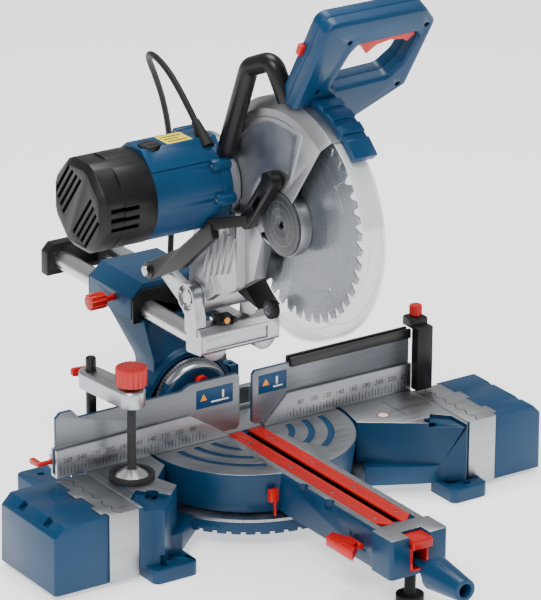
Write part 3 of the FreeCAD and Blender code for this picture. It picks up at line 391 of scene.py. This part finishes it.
def drawn(name, colour, roughness, stretch):
    finish = Finish(name, colour, roughness, 1.0)
    lines = finish.speckle(120.0, 3.0, stretch)
    darker = tuple(part * 0.88 for part in colour)
    finish.feed("Base Color", finish.mix(lines, darker, colour))
    finish.feed("Roughness", finish.ramp(lines, 0.3, 0.7, roughness - 0.07, roughness + 0.08))
    finish.bump(lines, 0.00002, 0.5)
    return finish


cast_metal = cast("cast_aluminium")
fine_cast = cast("machined_aluminium", (0.46, 0.47, 0.49), 0.33)
tube_metal = drawn("drawn_tube", (0.58, 0.58, 0.59), 0.27, (6.0, 0.2, 6.0))
pin_metal = drawn("turned_steel", (0.50, 0.50, 0.51), 0.30, (0.3, 5.0, 5.0))

eased("head_casting", 0.6, cast_metal)
eased("front_bracket", 0.6, fine_cast)
eased("rails", 0.0, tube_metal)
eased("clamp_arm", 0.8, fine_cast)
for node in ("pivot_bolt", "bevel_shaft", "pivot_shaft", "spindle", "head_screws"):
    eased(node, 0.3, pin_metal)


# ---------------------------------------------------------------- saw blade
# Ground steel with fine rings about the arbor and brighter carbide at the tips. The round
# cap over the arbor is smoky and ribbed like a wheel.


ARBOR = mm(0, -117, 412)
TIPS_FROM = 0.1215
CAP_R = 0.0402
CAP_FACE = -0.0275
CAP_SPOKES = 16


def from_arbor(finish):
    across = finish.y - ARBOR[1]
    up = finish.z - ARBOR[2]
    return (across * across + up * up).math("SQRT")


blade_finish = Finish("ground_blade", (0.30, 0.31, 0.33), 0.28, 1.0)
blade_radius = from_arbor(blade_finish)
rings = (blade_radius * 1400.0).through("ShaderNodeTexNoise", into="W",
                                        settings={"noise_dimensions": "1D"},
                                        inputs={"Scale": 1.0, "Detail": 3.0})
blade_shade = blade_finish.mix(rings, (0.21, 0.22, 0.24), (0.33, 0.34, 0.36))
blade_shade = blade_finish.mix(blade_radius > TIPS_FROM, blade_shade, (0.42, 0.42, 0.43))
blade_finish.feed("Base Color", blade_shade)
blade_finish.feed("Roughness", blade_finish.ramp(rings, 0.3, 0.7, 0.18, 0.34))
blade_finish.bump(rings, 0.00002, 0.5)
eased("saw_blade", 0.0, blade_finish)

guard_metal = cast("guard_aluminium")
cap_radius = from_arbor(guard_metal)
cap_turn = (guard_metal.z - ARBOR[2]).math("ARCTAN2", guard_metal.y - ARBOR[1]) * DEGREES
cap_zone = (cap_radius < CAP_R) * (guard_metal.x < CAP_FACE)
spoke_step = 360.0 / CAP_SPOKES
off_spoke = (cap_turn + 9 * spoke_step).math("MODULO", spoke_step) - spoke_step / 2
spokes = off_spoke.math("ABSOLUTE") * cap_radius < 0.012
hoops = (cap_radius * 1000.0).math("MODULO", 9.0) < 1.2
cap_ribs = spokes.math("MAXIMUM", hoops) * cap_zone
cap_shade = guard_metal.mix(cap_ribs, (0.026, 0.029, 0.033), (0.085, 0.092, 0.10))
bare_shade = Signal(guard_metal.shader.inputs["Base Color"].links[0].from_socket)
guard_metal.feed("Base Color", guard_metal.mix(cap_zone, bare_shade, cap_shade))
guard_metal.feed("Metallic", 1.0 - cap_zone)
guard_metal.bump(cap_ribs + guard_metal.speckle(520.0, 4.0) * 0.06, 0.0012, 0.8)
eased("upper_guard", 0.6, guard_metal)


# ---------------------------------------------------------------- blade guard
# Clear moulded sector. It shows most where it is seen edge on and along the ribs that
# stiffen it, and the upper part of its rim is painted whitish and more opaque as a
# painted highlight.


GUARD_GREY = (0.25, 0.28, 0.32)
GUARD_RIM_HIGHLIGHT = (0.66, 0.68, 0.70)
GUARD_RIM = 0.1462
RIB_STEP, RIB_WIDE = 22.0, 1.6
RIBS_FROM, RIBS_TO = 0.07, 0.142
RIM_HIGHLIGHT_END = math.radians(168)

clear = Finish("clear_guard", GUARD_GREY, 0.09, IOR=1.45)
edge_on = clear.tree.nodes.new("ShaderNodeLayerWeight")
edge_on.inputs["Blend"].default_value = 0.35
seen = Signal(edge_on.outputs["Facing"])
guard_radius = from_arbor(clear)
rib = (guard_radius * 1000.0).math("MODULO", RIB_STEP) < RIB_WIDE
rib = rib * (guard_radius > RIBS_FROM) * (guard_radius < RIBS_TO)
sweep = (clear.z - ARBOR[2]).math("ARCTAN2", ARBOR[1] * -1.0 + clear.y)
# The upper rim is painted whitish: a painted highlight.
rim_highlight = (guard_radius > GUARD_RIM) * (sweep < RIM_HIGHLIGHT_END) * (sweep > 0.0)
hazy = seen * seen * 0.45 + 0.11 + rib * 0.12
clear.feed("Base Color", clear.mix(rim_highlight, GUARD_GREY, GUARD_RIM_HIGHLIGHT))
clear.feed("Alpha", (hazy + rim_highlight * 0.75).math("MINIMUM", 0.93))
clear.feed("Roughness", clear.ramp(clear.speckle(30.0, 4.0), 0.3, 0.7, 0.06, 0.16))
clear.bump(rib, 0.0004, 0.6)
eased("lower_guard", 0.35, clear)


# ---------------------------------------------------------------- motor, grip and wound rotor
# Blue motor shell with a black vented cap, a slotted brush cap and a plain yellow label.
# The two halves of the grip have grooves near both ends of the top bar.


copper = drawn("wound_copper", (0.45, 0.24, 0.12), 0.4, (6.0, 1.0, 1.0))
eased("rotor", 0.0, copper)
eased("motor_housing", 0.7, blue_mould)
eased("motor_end_cap", 0.6, black_mould)
LEAN = math.radians(25)
TOP_BAR_FROM = 0.101
GROOVES = (0.031, 0.038, 0.045, 0.106, 0.112, 0.118)
GROOVE_HALF = 0.0009
grip = moulded("grip_moulding", MOULDING_BLUE, 0.36)
up_the_grip = (grip.z - 0.56) * math.cos(LEAN) - (grip.y + 0.125) * math.sin(LEAN)
grooves = grip.x * 0.0
for place in GROOVES:
    grooves = grooves.math("MAXIMUM", (grip.x - place).math("ABSOLUTE") < GROOVE_HALF)
grooves = grooves * (up_the_grip > TOP_BAR_FROM)
grip.bump((1.0 - grooves) + grip.speckle(1600.0, 2.0) * 0.02, 0.0012, 0.9)
eased("handle_front", 0.8, grip)
eased("handle_rear", 0.8, grip)
shaped_round("brush_cap", "head", black_mould, (-132, 15, 489.6), 13.4, 8.4, width=1.2)
# The dark strip on the brush cap stands for its slot: painted shade.
shaped_block("brush_cap_slot", "head", dark_print, (-141, 13.8, 493.2), (-123, 16.2, 494.0), 0.2)

yellow = moulded("label_yellow", (0.80, 0.60, 0.01), 0.4)
shaped_block("motor_label", "head", yellow, (-112, 6, 491.9), (-76, 36, 492.3), 0.1)
for count in range(3):
    low_y = 11 + 8 * count
    end_x = -80 - 8 * (count % 2)
    shaped_block(f"motor_label_bar_{count}", "head", dark_print, (-108, low_y, 492.25),
                 (end_x, low_y + 3, 492.4), 0.05)


# ---------------------------------------------------------------- miter scale
# A bright ring under the front of the table, with a tick every degree, longer every five,
# and figures at the angles that are used most. The bevel scale has a line every five.


def each(value, step, half):
    """1 within half of every whole step of a value that stays above -200."""
    return ((value + (200.0 + step / 2)).math("MODULO", step) - step / 2).math("ABSOLUTE") < half


SHORT_TICK_FROM, LONG_TICK_FROM = 0.1435, 0.1415
FIGURE_R = 138.6
FIGURE_ANGLES = (-45, -30, -15, 0, 15, 30, 45)

scale_metal = Finish("miter_scale_plate", BRIGHT, 0.34, 1.0)
bearing = scale_metal.x.math("ARCTAN2", scale_metal.y * -1.0) * DEGREES
reach = (scale_metal.x * scale_metal.x + scale_metal.y * scale_metal.y).math("SQRT")
short_ticks = each(bearing, 1.0, 0.11) * (reach > SHORT_TICK_FROM)
long_ticks = each(bearing, 5.0, 0.16) * (reach > LONG_TICK_FROM)
ticks = short_ticks.math("MAXIMUM", long_ticks)
scale_metal.feed("Base Color", scale_metal.mix(ticks, BRIGHT, INK))
scale_metal.feed("Metallic", 1.0 - ticks)
scale_metal.feed("Roughness", scale_metal.ramp(scale_metal.speckle(40.0), 0.3, 0.7, 0.28, 0.42))
eased("miter_scale", 0.3, scale_metal)
for angle in FIGURE_ANGLES:
    a = math.radians(angle)
    spot = (FIGURE_R * math.sin(a), -FIGURE_R * math.cos(a), 40.08)
    numeral(str(abs(angle)), f"miter_figure_{angle + 90}", "base", dark_print, spot, 4.2, (0, 0, angle))

bevel_plate = Finish("bevel_scale_plate", BRIGHT, 0.34, 1.0)
tilt = bevel_plate.x.math("ARCTAN2", bevel_plate.z - 0.095) * DEGREES
bevel_plate.feed("Base Color", bevel_plate.mix(each(tilt, 5.0, 0.45), BRIGHT, INK))
bevel_plate.feed("Roughness", bevel_plate.ramp(bevel_plate.speckle(40.0), 0.3, 0.7, 0.28, 0.42))
eased("bevel_scale", 0.3, bevel_plate)


# ---------------------------------------------------------------- kerf inserts
# Two red strips beside the blade's slot, each held by four slotted screws of turned steel.
# Each screw's slot is a dark strip on its head, as painted shade.


INSERT_SCREW_X = 16
INSERT_SCREW_Y = (-300, -210, -120, -30)

eased("kerf_inserts", 0.3, red_mould)
for side in (-1, 1):
    x = side * INSERT_SCREW_X
    for count, y in enumerate(INSERT_SCREW_Y):
        shaped_round(f"insert_screw_{side + 1}_{count}", "table", pin_metal, (x, y, 93.6), 2.8, 1.2,
                     width=0.3)
        # Dark strip over each screw's slot: painted shade.
        shaped_block(f"insert_screw_slot_{side + 1}_{count}", "table", dark_print,
                     (x - 2.2, y - 0.4, 94.1), (x + 2.2, y + 0.4, 94.3), 0.05)


# ---------------------------------------------------------------- slot frame
# Red frame that lines the front slot of the arm, below the detent tab: two sides and a foot.


SLOT_IN, SLOT_OUT = 9.6, 12.9
SLOT_FRONT, SLOT_BACK = -370.4, -350

for side in (-1, 1):
    low_x, high_x = sorted((side * SLOT_IN, side * SLOT_OUT))
    shaped_block(f"slot_frame_side_{side + 1}", "table", red_mould, (low_x, SLOT_FRONT, 49.4),
                 (high_x, SLOT_BACK, 79), 0.5)
shaped_block("slot_frame_foot", "table", red_mould, (-SLOT_OUT, SLOT_FRONT, 49.1),
             (SLOT_OUT, SLOT_BACK, 51.6), 0.4)


# ---------------------------------------------------------------- miter pointer
# Red tongue on the rim of the table, left of the arm, whose tip hangs over the miter scale.
# It turns with the table.


shaped_block("pointer_tongue", "table", red_mould, (-55, -136.5, 61), (-43, -128, 77), 1.6)
shaped_block("pointer_tip", "table", red_mould, (-49.6, -138.6, 43), (-48.4, -134, 64), 0.3)


# ---------------------------------------------------------------- fences
# The fixed fence is bright with a millimetre scale. The sliding halves have grey faces in
# blue plate, and the right one carries a black rail for the stop.


TICKS_FROM = 0.099
FIVE_TICK_TO, TEN_TICK_TO = 0.1065, 0.109
SCALE_STARTS = 0.06

fence_metal = Finish("fence_scale", BRIGHT, 0.36, 1.0)
fence_mm = fence_metal.x * 1000.0 + 800.0
five_ticks = each(fence_mm, 5.0, 0.42) * (fence_metal.z < FIVE_TICK_TO)
ten_ticks = each(fence_mm, 10.0, 0.45) * (fence_metal.z < TEN_TICK_TO)
on_scale = (fence_metal.z > TICKS_FROM) * (fence_metal.x.math("ABSOLUTE") > SCALE_STARTS)
ruled = five_ticks.math("MAXIMUM", ten_ticks) * on_scale * (fence_metal.face_y < -0.7)
mill = fence_metal.speckle(70.0, 4.0, (0.3, 1.0, 8.0))
fence_shade = fence_metal.mix(fence_metal.ramp(mill, 0.3, 0.7, 0.0, 1.0), DULL, BRIGHT)
fence_metal.feed("Base Color", fence_metal.mix(ruled, fence_shade, INK))
fence_metal.feed("Metallic", 1.0 - ruled)
fence_metal.feed("Roughness", fence_metal.ramp(mill, 0.3, 0.7, 0.30, 0.46))
fence_metal.bump(mill, 0.00002, 0.4)
eased("fence_casting", 0.5, fence_metal)
for side, sign, last in (("left", -1, 260), ("right", 1, 240)):
    for value in range(80, last + 1, 20):
        numeral(str(value), f"fence_figure_{side}_{value}", "base", dark_print,
                (sign * value, -0.05, 116.5), 6.4, (90, 0, 0))


PLATE_GREYS = ((0.20, 0.215, 0.235), (0.25, 0.265, 0.285))
RAIL_STARTS = 0.0655
NO_RAIL = 1.0


def faced_plate(name, black_from):
    """Blue plate with a bare grey front, black above black_from."""
    finish = Finish(name, BLUE, 0.36)
    front = finish.face_y < FACING_FRONT
    lines = finish.speckle(60.0, 4.0, (0.3, 1.0, 9.0))
    drawn_lines = finish.ramp(lines, 0.3, 0.7, 0.0, 1.0)
    colour = finish.mix(front, BLUE, finish.mix(drawn_lines, *PLATE_GREYS))
    rail = (finish.z > black_from) * (finish.x > RAIL_STARTS)
    colour = finish.mix(rail, colour, BLACK)
    finish.feed("Base Color", colour)
    finish.feed("Metallic", front * (1.0 - rail) * 0.8)
    finish.feed("Roughness", finish.ramp(lines, 0.3, 0.7, 0.32, 0.46))
    finish.bump(finish.speckle(900.0, 2.0), 0.00003, 0.5)
    return finish


eased("fence_left", 0.6, faced_plate("left_fence_plate", NO_RAIL))
eased("fence_right", 0.6, faced_plate("right_fence_plate", 0.1658))


# ---------------------------------------------------------------- labels
# Plain stickers: a blue one with bars and an amber triangle on each sliding fence, and a
# white disc with a red ring on the right deck. The work lamp has an amber lens.


label_blue = moulded("label_blue", (0.0010, 0.042, 0.115), 0.3, 0.00001)
amber = moulded("label_amber", (0.80, 0.26, 0.01), 0.35, 0.00001)
for body, low_x, high_x in (("fence_left", -72, -18), ("fence_right", 20, 62)):
    shaped_block(body + "_label", body, label_blue, (low_x, 4.85, 138), (high_x, 5.05, 163), 0.08)
    shaped_block(body + "_label_bar", body, white_print, (low_x + 22, 4.8, 143),
                 (high_x - 6, 4.9, 145), 0.04)
    shaped_block(body + "_label_post", body, white_print, (high_x - 16, 4.8, 147),
                 (high_x - 13, 4.9, 157), 0.04)
    bpy.ops.mesh.primitive_cylinder_add(vertices=3, radius=0.0058, depth=0.0001)
    sign = bpy.context.object
    sign.location = mm(low_x + 11, 4.8, 151)
    sign.rotation_euler = (math.radians(90), 0, 0)
    settle(sign, body + "_label_sign", body, amber)
shaped_round("deck_disc_ring", "base", red_mould, (172, -50, 95.06), 8.5, 0.12, width=0.03)
shaped_round("deck_disc", "base", white_print, (172, -50, 95.14), 6.6, 0.12, width=0.03)
shaped_block("deck_line_left", "base", label_blue, (-222, -95, 94.99), (-220.6, -12, 95.05), 0.02)
shaped_block("deck_line_right", "base", label_blue, (196, -60, 94.99), (197.4, -14, 95.05), 0.02)
shaped_round("work_lamp", "carriage", black_mould, (-19, 20.4, 241.4), 5.6, 7, (90, 0, 0))
lens = moulded("amber_lens", (0.75, 0.28, 0.03), 0.12, 0.00001)
shaped_round("work_lamp_lens", "carriage", lens, (-19, 16.6, 241.4), 4.2, 1.6, (90, 0, 0), width=0.6)


# ---------------------------------------------------------------- clamp
# A threaded rod with a red fluted knob, and a bright cone in a rubber ring that presses
# the work.


THREAD_PITCH = 0.002
THREAD_TOP = 0.2125
KNOB_FROM = 0.2168
PAD_X, PAD_Y = -0.196, -0.044
CONE_R = 0.0228

thread = Finish("clamp_screw_finish", BLACK, 0.34)
turns = (thread.z * (1 / THREAD_PITCH)).math("FRACT")
knob = thread.z > KNOB_FROM
thread.feed("Base Color", thread.mix(knob, (0.03, 0.03, 0.032), RED))
thread.feed("Roughness", thread.ramp(thread.speckle(40.0), 0.3, 0.7, 0.28, 0.42))
thread.bump((turns - 0.5).math("ABSOLUTE") * (1.0 - knob) * (thread.z < THREAD_TOP), 0.0012, 0.9)
eased("clamp_screw", 0.4, thread)
pad = Finish("clamp_pad_finish", BLACK, 0.5)
pad_x = pad.x - PAD_X
pad_y = pad.y - PAD_Y
cone = (pad_x * pad_x + pad_y * pad_y).math("SQRT") < CONE_R
pad.feed("Base Color", pad.mix(cone, (0.012, 0.012, 0.012), (0.55, 0.56, 0.57)))
pad.feed("Metallic", cone)
pad.feed("Roughness", 0.6 - cone * 0.26)
pad.bump(pad.speckle(900.0, 2.0), 0.00004, 0.5)
eased("clamp_pad", 0.5, pad)


# ---------------------------------------------------------------- table extensions
# Bright plates with pressed chevrons that point outwards, and a toothed joint to the blue
# end caps.


CHEVRON_STEP = 22.0
CHEVRON_LEAN = 0.55
CHEVRON_PLACE = 268.0
CHEVRON_HALF = 1.1

plate_metal = Finish("extension_plate", BRIGHT, 0.34, 1.0)
mill_lines = plate_metal.speckle(60.0, 4.0, (0.25, 14.0, 1.0))
away = plate_metal.x.math("ABSOLUTE") * 1000.0
slope = (plate_metal.y * 1000.0 + 500.0).math("MODULO", CHEVRON_STEP) - CHEVRON_STEP / 2
off_chevron = away + slope.math("ABSOLUTE") * CHEVRON_LEAN - CHEVRON_PLACE
mark = (off_chevron.math("ABSOLUTE") < CHEVRON_HALF) * (plate_metal.face_z > 0.7)
plate_shade = plate_metal.mix(plate_metal.ramp(mill_lines, 0.3, 0.7, 0.0, 1.0), DULL, BRIGHT)
plate_metal.feed("Base Color", plate_metal.mix(mark, plate_shade, (0.16, 0.17, 0.18)))
plate_metal.feed("Roughness", plate_metal.ramp(mill_lines, 0.3, 0.7, 0.28, 0.44))
plate_metal.bump(1.0 - mark, 0.0004, 0.7)
eased("extension_left", 0.5, plate_metal)
eased("extension_right", 0.5, plate_metal)


# ---------------------------------------------------------------- mains lead
# Leaves the motor through its relief, falls behind the saw, and its spare length lies in a
# neat coil with the plug on top.


CORD_ROUTE = [
    (-60.0, 25.7, 506.5), (-60.0, 64.0, 540.5), (-57.0, 106.0, 559.0), (-45.0, 152.0, 556.0),
    (-20.0, 196.0, 533.0), (14.0, 234.0, 494.0), (46.0, 266.0, 447.0), (70.0, 290.0, 394.0),
    (84.0, 306.0, 337.0), (90.0, 315.0, 279.0), (91.0, 320.0, 220.0), (90.0, 324.0, 161.0),
    (92.0, 328.0, 102.0), (100.0, 335.0, 52.0), (118.0, 345.0, 20.0), (146.0, 353.0, 6.0),
    (178.0, 356.4, 4.2),
]
PLUG_ROUTE = [
    (178.0, 465.0, 36.5), (146.0, 466.0, 40.0), (122.0, 456.0, 42.0), (122.0, 430.0, 43.5),
    (140.0, 421.0, 44.2), (156.5, 421.0, 44.2),
]
COIL_X, COIL_Y = 178.0, 421.0
COIL_IN, COIL_OUT = 30.0, 56.0
COIL_TURNS = 11.5
LAYER_TURNS = 3.25
LAYER_RISE = 8.1
LEAD_R = 4.0
COIL_STARTS = math.radians(-70)
STEPS = 16


def coil_place(turn):
    """Turns lie side by side, inwards in one layer and outwards in the next."""
    layer = int(turn / LAYER_TURNS)
    part = turn / LAYER_TURNS - layer
    inwards = part if layer % 2 == 0 else 1 - part
    r = COIL_OUT - (COIL_OUT - COIL_IN) * inwards
    climb = max(0.0, (part - 0.9) / 0.1)
    a = COIL_STARTS + 2 * math.pi * turn
    z = LEAD_R + 0.2 + LAYER_RISE * (layer + climb)
    return (COIL_X + r * math.cos(a), COIL_Y + r * math.sin(a), z)


points = list(CORD_ROUTE)
points += [coil_place(step / STEPS) for step in range(int(COIL_TURNS * STEPS) + 1)]
points += PLUG_ROUTE
lead_shape = bpy.data.curves.new("mains_lead", "CURVE")
lead_shape.dimensions = "3D"
lead_shape.bevel_depth = LEAD_R / 1000
lead_shape.bevel_resolution = 4
lead_shape.resolution_u = 6
spline = lead_shape.splines.new("NURBS")
spline.points.add(len(points) - 1)
for spot, place in zip(spline.points, points):
    spot.co = (*mm(*place), 1.0)
spline.order_u = 3
spline.use_endpoint_u = True
lead = bpy.data.objects.new("mains_lead", lead_shape)
bpy.context.collection.objects.link(lead)
coat(lead, rubber)
plug = eased("mains_plug", 1.2, black_mould)
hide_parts("mains_cord", "cord_coil")
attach(lead, "carriage")
mm(*CORD_ROUTE[0])


# ---------------------------------------------------------------- floor, light and camera
# A pale floor under one broad key light, a fill from the right and a pale sky.


bpy.ops.mesh.primitive_plane_add(size=30.0, location=(0, 0, -0.0002))
floor = bpy.context.object
floor.name = "floor"
floor_finish = Finish("pale_floor", (0.9, 0.9, 0.9), 0.6, Emission_Color=(1.0, 1.0, 1.0, 1.0),
                      Emission_Strength=0.85)
coat(floor, floor_finish)


def lamp(name, place, aim, size, power):
    light = bpy.data.lights.new(name, "AREA")
    light.shape = "DISK"
    light.size = size
    light.energy = power
    source = bpy.data.objects.new(name, light)
    source.location = place
    source.rotation_euler = (Vector(aim) - Vector(place)).to_track_quat("-Z", "Y").to_euler()
    bpy.context.collection.objects.link(source)


MIDDLE = (0.0, 0.0, 0.25)
lamp("key", (-2.2, -1.8, 3.2), MIDDLE, 1.6, 120)
lamp("fill", (3.0, -1.6, 1.8), MIDDLE, 2.4, 30)
lamp("top", (0.3, 0.6, 3.4), MIDDLE, 1.8, 110)
world = bpy.data.worlds.new("pale_sky")
world.use_nodes = True
world.node_tree.nodes["Background"].inputs["Color"].default_value = (1.0, 1.0, 1.0, 1.0)
world.node_tree.nodes["Background"].inputs["Strength"].default_value = 0.50
bpy.context.scene.world = world

YAW, PITCH, ROLL = math.radians(33.785), math.radians(21.231), math.radians(0.360)
ahead = Vector((math.sin(YAW) * math.cos(PITCH), math.cos(YAW) * math.cos(PITCH), -math.sin(PITCH)))
level = Vector((math.cos(YAW), -math.sin(YAW), 0.0))
upright = level.cross(ahead)
right = level * math.cos(ROLL) + upright * math.sin(ROLL)
above = upright * math.cos(ROLL) - level * math.sin(ROLL)
facing = Matrix((right, above, -ahead)).transposed().to_4x4()
camera = bpy.data.objects.new("camera", bpy.data.cameras.new("camera"))
camera.data.lens = 253.07
camera.data.sensor_width = 36.0
camera.data.clip_end = 100.0
camera.matrix_world = Matrix.Translation(mm(-2664.6, -4033.3, 2148.3)) @ facing
bpy.context.collection.objects.link(camera)
bpy.context.scene.camera = camera
